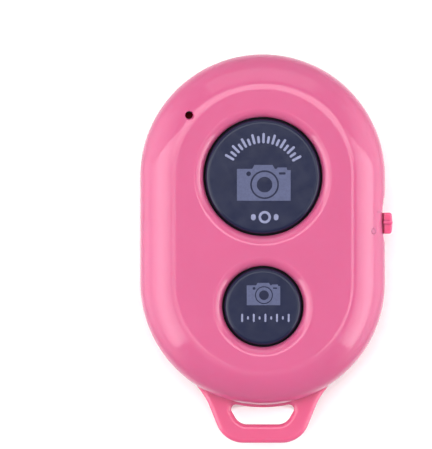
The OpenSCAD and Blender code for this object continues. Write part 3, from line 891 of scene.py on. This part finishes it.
def prints():
    """A camera sign and tick marks on each cap."""
    sign, marks = Surface(), Surface()
    x, y = LARGE_AT
    pictogram(sign, (x + 0.15, y - 1.3), 8.5)
    # Ticks in an arc over the sign, in turn long and short.
    start, stop, last = 150, 28, 16
    for i in range(last + 1):
        a = math.radians(start - (start - stop) * i / last)
        near, far = 5.45, 6.25 if i % 2 else 6.7
        ends = [(x + r * math.cos(a), y + r * math.sin(a)) for r in (near, far)]
        pill(marks, *ends, 0.4)
    # A ring between two dots under the sign.
    low_y, half = y - 6.45, 0.12
    ring(marks, (x + 0.3, low_y), 0.78, 0.4)
    for dot_x in (x - 1.5, x + 2.1):
        pill(marks, (dot_x, low_y - half), (dot_x, low_y + half), 0.75)
    piece("large_button_sign", sign.mesh("large_button_sign"), PRINT_INK, "large_push")
    piece("large_button_marks", marks.mesh("large_button_marks"), MARK_INK, "large_push")

    sign, marks = Surface(), Surface()
    x, y = SMALL_AT
    pictogram(sign, (x + 0.1, y + 1.8), 5.3)
    # Ticks in a row under the sign.
    for i in range(9):
        tick_x = x + 0.4 + (i - 4) * 0.92
        half = 0.12 if i % 2 else 0.5
        pill(marks, (tick_x, y - 1.8 - half), (tick_x, y - 1.8 + half), 0.3)
    piece("small_button_sign", sign.mesh("small_button_sign"), PRINT_INK, "small_push")
    piece("small_button_marks", marks.mesh("small_button_marks"), MARK_INK, "small_push")


# ---------- switch domes ----------


def switch_dome(node):
    """A snap dome, of the kind that flattens as its button goes down. It is built here in its
    resting shape.
    """
    low, high = box_mm(node)
    centre = middle(low, high)
    rise, rim_r, sheet = high.z - low.z, high.x - centre[0], 0.1
    outer_r = (rim_r**2 + rise**2) / (2 * rise)
    inner_r = outer_r - sheet
    base = high.z - outer_r
    spread = math.degrees(math.asin(rim_r / outer_r))
    inner_spread = math.degrees(math.acos((low.z - base) / inner_r))
    section = arc((0, base), outer_r, 89, 90 - spread, 12)
    section += arc((0, base), inner_r, 90 - inner_spread, 89, 12)
    dome = Surface()
    revolve(dome, centre, section, 48)
    name = node + "_leaf"
    leaf = piece(name, dome.mesh(name), MATERIALS["spring_steel"], "housing")
    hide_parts(node)
    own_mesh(leaf)


# ---------- power knob ----------


def power_knob():
    """A thumb slide: crowned head with a rib, neck, and a foot inside the shell."""
    y0, y1 = KNOB_Y - KNOB_L / 2, KNOB_Y + KNOB_L / 2
    root_x, head_x, tip_x, corner = 16.45, 19.2, KNOB_TIP_X - 0.05, 0.42
    crown_h, steps = 0.09, 12
    flat_l = KNOB_L - 2 * corner
    crown = [
        (tip_x - crown_h * ((y - KNOB_Y) / (KNOB_L / 2 - corner)) ** 2, y)
        for y in (y0 + corner + flat_l * i / steps for i in range(steps + 1))
    ]
    low = arc((crown[0][0] - corner, crown[0][1]), corner, -90, -8, 8)
    high = arc((crown[-1][0] - corner, crown[-1][1]), corner, 8, 90, 8)
    head = [(head_x, y0)] + low + crown[1:-1] + high + [(head_x, y1)]
    rib_y, rib_half = KNOB_Y + 0.1, 0.3
    rib = round_rect((head_x - 0.1, rib_y - rib_half), (tip_x + 0.03, rib_y + rib_half), 0.25)
    shape = Surface()
    slab(shape, [head], 5.55, 7.75, 0.3, 8)
    shape.block((root_x, y0 + 0.02, 5.6), (head_x + 0.4, y1 - 0.02, 7.0))
    slab(shape, [rib], 5.4, 8.05, 0.24, 6)
    foot_half = 3.2
    shape.block((16.35, KNOB_Y - foot_half, 5.65), (17.3, KNOB_Y + foot_half, SLOT_TOP_Z))
    skin = piece("power_knob_skin", shape.mesh("power_knob_skin"), MATERIALS["knob_pink"],
                 "power_slide")
    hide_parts("power_knob")


front_shell()
side_marks()
rear_shell()
battery_door()
cap("large_button_cap", LARGE_AT, LARGE_R, "large_push", "large_button")
cap("small_button_cap", SMALL_AT, SMALL_R, "small_push", "small_button")
prints()
switch_dome("large_switch_dome")
switch_dome("small_switch_dome")
power_knob()


# ---------- floor, light and camera ----------


FLOOR_DROP = 0.4
# Middle of the lanyard slot, and the strength of the painted glow put in the paper under it.
SLOT_Y = -29.7
SLOT_PAINTED_GLOW = 0.36


def floor():
    """A round sheet of paper with its edge turned up, just under the object."""
    surface = Surface()
    section = ((900, 0.0), (960, 8.0), (1020, 40.0))
    rings = surface.chain([surface.loop(circle((0, 0), r), z) for r, z in section])
    surface.fill(rings[0])
    mesh = surface.mesh("floor")
    mesh.flip_normals()
    item = bpy.data.objects.new("floor", mesh)
    item.location.z = -FLOOR_DROP * MM
    bpy.context.scene.collection.objects.link(item)
    n = Nodes("paper")
    fibre = n.noise(3, detail=5, roughness=0.6)
    split = n.add("ShaderNodeSeparateXYZ")
    n.link(n.place, split.inputs["Vector"])
    # The paper turns slowly greyer beyond the object's two ends.
    white = n.tint(fibre, (0.9, 0.9, 0.9), (0.93, 0.93, 0.93))
    grey = n.tint(fibre, (0.46, 0.46, 0.46), (0.48, 0.48, 0.48))
    for start, stop in ((-0.036, -0.11), (0.04, 0.13)):
        paper = n.add("ShaderNodeMix", data_type="RGBA")
        n.link(n.ramp(split.outputs["Y"], 0, 1, start, stop), paper.inputs["Factor"])
        n.link(white, paper.inputs["A"])
        n.link(grey, paper.inputs["B"])
        white = paper.outputs["Result"]
    n.link(white, n.shader.inputs["Base Color"])
    n.link(n.ramp(fibre, 0.75, 0.85), n.shader.inputs["Roughness"])
    n.bump([(fibre, 0.02, 0.2)])
    # Painted light: a glowing patch in the paper under the lanyard slot brightens the deep, narrow
    # slot.
    squeeze = 3.8
    painted_glow_spot = n.add("ShaderNodeMapping")
    painted_glow_spot.inputs["Scale"].default_value = (1, squeeze, 0)
    painted_glow_spot.inputs["Location"].default_value = (0, -SLOT_Y * MM * squeeze, 0)
    n.link(n.place, painted_glow_spot.inputs["Vector"])
    reach = n.add("ShaderNodeVectorMath", operation="LENGTH")
    n.link(painted_glow_spot.outputs["Vector"], reach.inputs["Vector"])
    glow = n.ramp(reach.outputs["Value"], SLOT_PAINTED_GLOW, 0, 5.6 * MM, 6.6 * MM)
    n.link(glow, n.shader.inputs["Emission Strength"])
    n.shader.inputs["Emission Color"].default_value = (1, 1, 1, 1)
    # Seen from below the floor is clear, so that the object's back can be looked at.
    clear = n.add("ShaderNodeBsdfTransparent")
    side = n.add("ShaderNodeNewGeometry")
    mix = n.add("ShaderNodeMixShader")
    n.link(side.outputs["Backfacing"], mix.inputs["Fac"])
    n.link(n.shader.outputs["BSDF"], mix.inputs[1])
    n.link(clear.outputs["BSDF"], mix.inputs[2])
    n.link(mix.outputs["Shader"], n.tree.nodes["Material Output"].inputs["Surface"])
    item.data.materials.append(n.material)
    # The glossy sides mirror the dim room below the horizon, not the paper.
    item.visible_glossy = False


LIGHT_GAIN = 6.0


def light_panel(name, corners, radiance, one_sided=False):
    """A flat studio light given by its corners in metres.

    Radiance is one value, or stops of (height, value). A one-sided light has one value and is
    dark from behind.
    """
    mesh = bpy.data.meshes.new(name)
    mesh.from_pydata(corners, [], [tuple(range(len(corners)))])
    material = bpy.data.materials.new(name)
    material.use_nodes = True
    tree = material.node_tree
    tree.nodes.clear()
    glow = tree.nodes.new("ShaderNodeEmission")
    output = tree.nodes.new("ShaderNodeOutputMaterial")
    tree.links.new(glow.outputs["Emission"], output.inputs["Surface"])
    if one_sided:
        facing = tree.nodes.new("ShaderNodeNewGeometry")
        dark = tree.nodes.new("ShaderNodeMapRange")
        dark.inputs["To Min"].default_value = radiance
        dark.inputs["To Max"].default_value = 0.0
        tree.links.new(facing.outputs["Backfacing"], dark.inputs["Value"])
        tree.links.new(dark.outputs["Result"], glow.inputs["Strength"])
    elif isinstance(radiance, float):
        glow.inputs["Strength"].default_value = radiance
    else:
        place = tree.nodes.new("ShaderNodeTexCoord")
        split = tree.nodes.new("ShaderNodeSeparateXYZ")
        ramp = tree.nodes.new("ShaderNodeValToRGB")
        gain = tree.nodes.new("ShaderNodeMath")
        gain.operation = "MULTIPLY"
        gain.inputs[1].default_value = LIGHT_GAIN
        stops = ramp.color_ramp.elements
        for k, (height, value) in enumerate(radiance):
            # A new ramp has two stops already.
            stop = stops[k] if k < 2 else stops.new(height)
            stop.position = height
            stop.color = (*[value / LIGHT_GAIN] * 3, 1)
        tree.links.new(place.outputs["Object"], split.inputs["Vector"])
        tree.links.new(split.outputs["Z"], ramp.inputs["Fac"])
        tree.links.new(ramp.outputs["Color"], gain.inputs[0])
        tree.links.new(gain.outputs["Value"], glow.inputs["Strength"])
    mesh.materials.append(material)
    item = bpy.data.objects.new(name, mesh)
    item.visible_camera = False
    bpy.context.scene.collection.objects.link(item)


def side_box(name, side, top_z, radiance):
    """A softbox beside the object whose far edge leans away."""
    x, low_y, high_y, lean = side * 0.35, -0.27, 0.05, 0.336
    corners = [(x, low_y, 0), (x, high_y, 0), (x, high_y + lean * top_z, top_z)]
    corners += [(x, low_y - 0.015, top_z)]
    light_panel(name, corners, radiance)


def ceiling_box(name, xs, ys, radiance):
    """A level softbox over the object."""
    z = 0.6
    corners = [(xs[0], ys[0], z), (xs[1], ys[0], z), (xs[1], ys[1], z), (xs[0], ys[1], z)]
    light_panel(name, corners, radiance)


# The first two stops are the ones that a new ramp has, so the heights are not in order.
LEFT_FADE = [
    (0.0, 2.3), (0.75, 2.5), (0.03, 2.5), (0.086, 3.4), (0.14, 4.3),
    (0.21, 4.4), (0.27, 4.2), (0.35, 3.5), (0.52, 2.8),
]
RIGHT_FADE = [
    (0.0, 3.5), (0.6, 1.6), (0.03, 4.0), (0.086, 4.7), (0.141, 4.5),
    (0.2, 3.9), (0.27, 3.3), (0.35, 2.4), (0.48, 1.9),
]
WALL_CORNERS = [(-0.3, 0.5, 0.05), (0.3, 0.5, 0.05), (0.3, 0.5, 0.5), (-0.3, 0.5, 0.5)]
# Light for the back face fills the gap between the object and the floor.
GAP_CORNERS = [(x * MM, y * MM, -0.3 * MM) for x, y in stadium(14.2)]

side_box("left_box", -1, 0.75, LEFT_FADE)
side_box("right_box", 1, 0.52, RIGHT_FADE)
ceiling_box("left_strip", (-0.24, -0.04), (-0.16, 0.1), 2.4)
ceiling_box("right_strip", (0.10, 0.22), (-0.16, 0.1), 3.4)
ceiling_box("far_strip", (-0.33, 0.33), (0.06, 0.33), 3.9)
ceiling_box("near_strip", (-0.3, 0.3), (-0.36, -0.17), 0.9)
light_panel("far_wall", WALL_CORNERS, 1.35)
light_panel("under_light", GAP_CORNERS, 1.3, one_sided=True)
floor()

world = bpy.data.worlds.new("room")
world.use_nodes = True
room = world.node_tree
sky = room.nodes["Background"]
direction = room.nodes.new("ShaderNodeTexCoord")
axes = room.nodes.new("ShaderNodeSeparateXYZ")
room.links.new(direction.outputs["Generated"], axes.inputs["Vector"])
across = room.nodes.new("ShaderNodeMath")
across.operation = "ABSOLUTE"
room.links.new(axes.outputs["X"], across.inputs[0])
# The room is brightest straight down and towards the two sides, and darker on the near side.
strength = None
for source, start, stop, low, high in (
    (axes.outputs["Y"], -0.8, -0.2, 0.3, 0.5),
    (axes.outputs["Z"], -0.35, -0.85, 0.0, 1.0),
    (across.outputs["Value"], 0.58, 0.92, 0.0, 1.75),
):
    dim = room.nodes.new("ShaderNodeMapRange")
    dim.inputs["From Min"].default_value = start
    dim.inputs["From Max"].default_value = stop
    dim.inputs["To Min"].default_value = low
    dim.inputs["To Max"].default_value = high
    room.links.new(source, dim.inputs["Value"])
    if strength is None:
        strength = dim.outputs["Result"]
    else:
        brighter = room.nodes.new("ShaderNodeMath")
        brighter.operation = "MAXIMUM"
        room.links.new(strength, brighter.inputs[0])
        room.links.new(dim.outputs["Result"], brighter.inputs[1])
        strength = brighter.outputs["Value"]
room.links.new(strength, sky.inputs["Strength"])
sky.inputs["Color"].default_value = (1, 1, 1, 1)
bpy.context.scene.world = world
bpy.context.scene.view_settings.view_transform = "Standard"

SENSOR = 36.0
DISTANCE = 1.2
VIEW_HEIGHT = 0.07147
VIEW_CENTRE = (-0.00742, 0.00079)
lens = bpy.data.cameras.new("camera")
lens.sensor_width = SENSOR
lens.lens = SENSOR * DISTANCE / VIEW_HEIGHT
lens.clip_start, lens.clip_end = 0.01, 10
camera = bpy.data.objects.new("camera", lens)
camera.location = (*VIEW_CENTRE, PART_Z * MM + DISTANCE)
bpy.context.scene.collection.objects.link(camera)
bpy.context.scene.camera = camera
